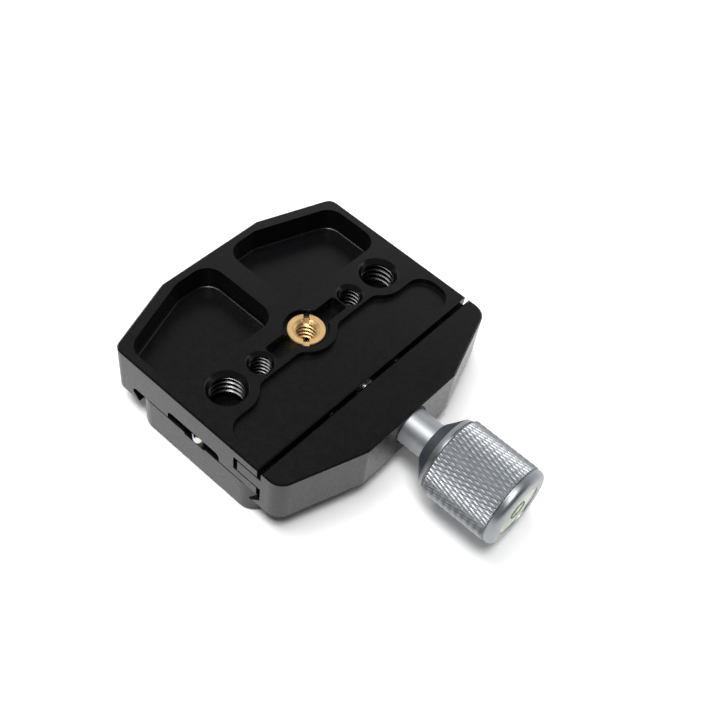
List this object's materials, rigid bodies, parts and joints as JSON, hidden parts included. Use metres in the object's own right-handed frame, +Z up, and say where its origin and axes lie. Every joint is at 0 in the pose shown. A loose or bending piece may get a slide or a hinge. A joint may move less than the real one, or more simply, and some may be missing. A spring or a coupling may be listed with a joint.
{
  "type": "camera quick mount",
  "caption": "Screw-knob dovetail clamp lying upside down on its quick-release plate, with a turned silver knob, threaded tripod holes and a round level in the knob.",
  "frame": {"origin": "on the table under the middle of the plate's camera seat, at the middle of the hole row", "axes": "+X along the jaws, -Y towards the knob, +Z up, out of the clamp's mounting face"},
  "size_m": [0.07, 0.0952, 0.025],
  "materials": {
    "black_anodised_aluminium": "bead-blasted, satin black anodised",
    "silver_anodised_aluminium": "fine turned, satin clear anodised",
    "grey_anodised_aluminium": "turned, dark grey anodised",
    "turned_steel": "bright turned steel",
    "spring_steel": "drawn wire",
    "turned_brass": "fine turned brass",
    "level_case": "moulded, clear pale green",
    "level_glass": "clear, polished",
    "level_liquid": "pale yellow-green liquid",
    "level_air": "air bubble",
    "printed_mark": "printed dark line",
    "black_rubber": "fine matt rubber"
  },
  "bodies": {
    "clamp": {"clamp_body": "black_anodised_aluminium", "thread_reducer": "turned_brass", "left_spring": "spring_steel", "right_spring": "spring_steel"},
    "jaw": {"movable_jaw": "black_anodised_aluminium", "thrust_washer": "turned_steel"},
    "knob": {"clamp_screw": "turned_steel", "screw_clip": "spring_steel", "knob_sleeve": "silver_anodised_aluminium", "knob_collar": "grey_anodised_aluminium", "knob_grip": "silver_anodised_aluminium", "level_cup": "level_case", "level_lens": "level_glass", "level_liquid": "level_liquid", "level_bubble": "level_air", "level_ring": "printed_mark"},
    "plate": {"dovetail_plate": "black_anodised_aluminium", "left_stop_screw": "turned_steel", "right_stop_screw": "turned_steel", "camera_screw": "turned_steel", "front_pad": "black_rubber", "rear_pad": "black_rubber"}
  },
  "joints": [
    {"name": "jaw_slide", "type": "slide", "parent": "clamp", "child": "jaw", "axis": [0, -1, 0], "range_m": [0, 0.005], "deforming": ["left_spring", "right_spring"]},
    {"name": "knob_turn", "type": "hinge", "parent": "jaw", "child": "knob", "pos_m": [0, -0.0418, 0.0151], "axis": [0, -1, 0], "range_deg": [0, 1800]},
    {"name": "plate_slide", "type": "slide", "parent": "clamp", "child": "plate", "axis": [1, 0, 0], "range_m": [-0.011, 0.011]}
  ],
  "couplings": [
    {"joint": "knob_turn", "follows": "jaw_slide", "rad_per_m": 6283.2}
  ]
}
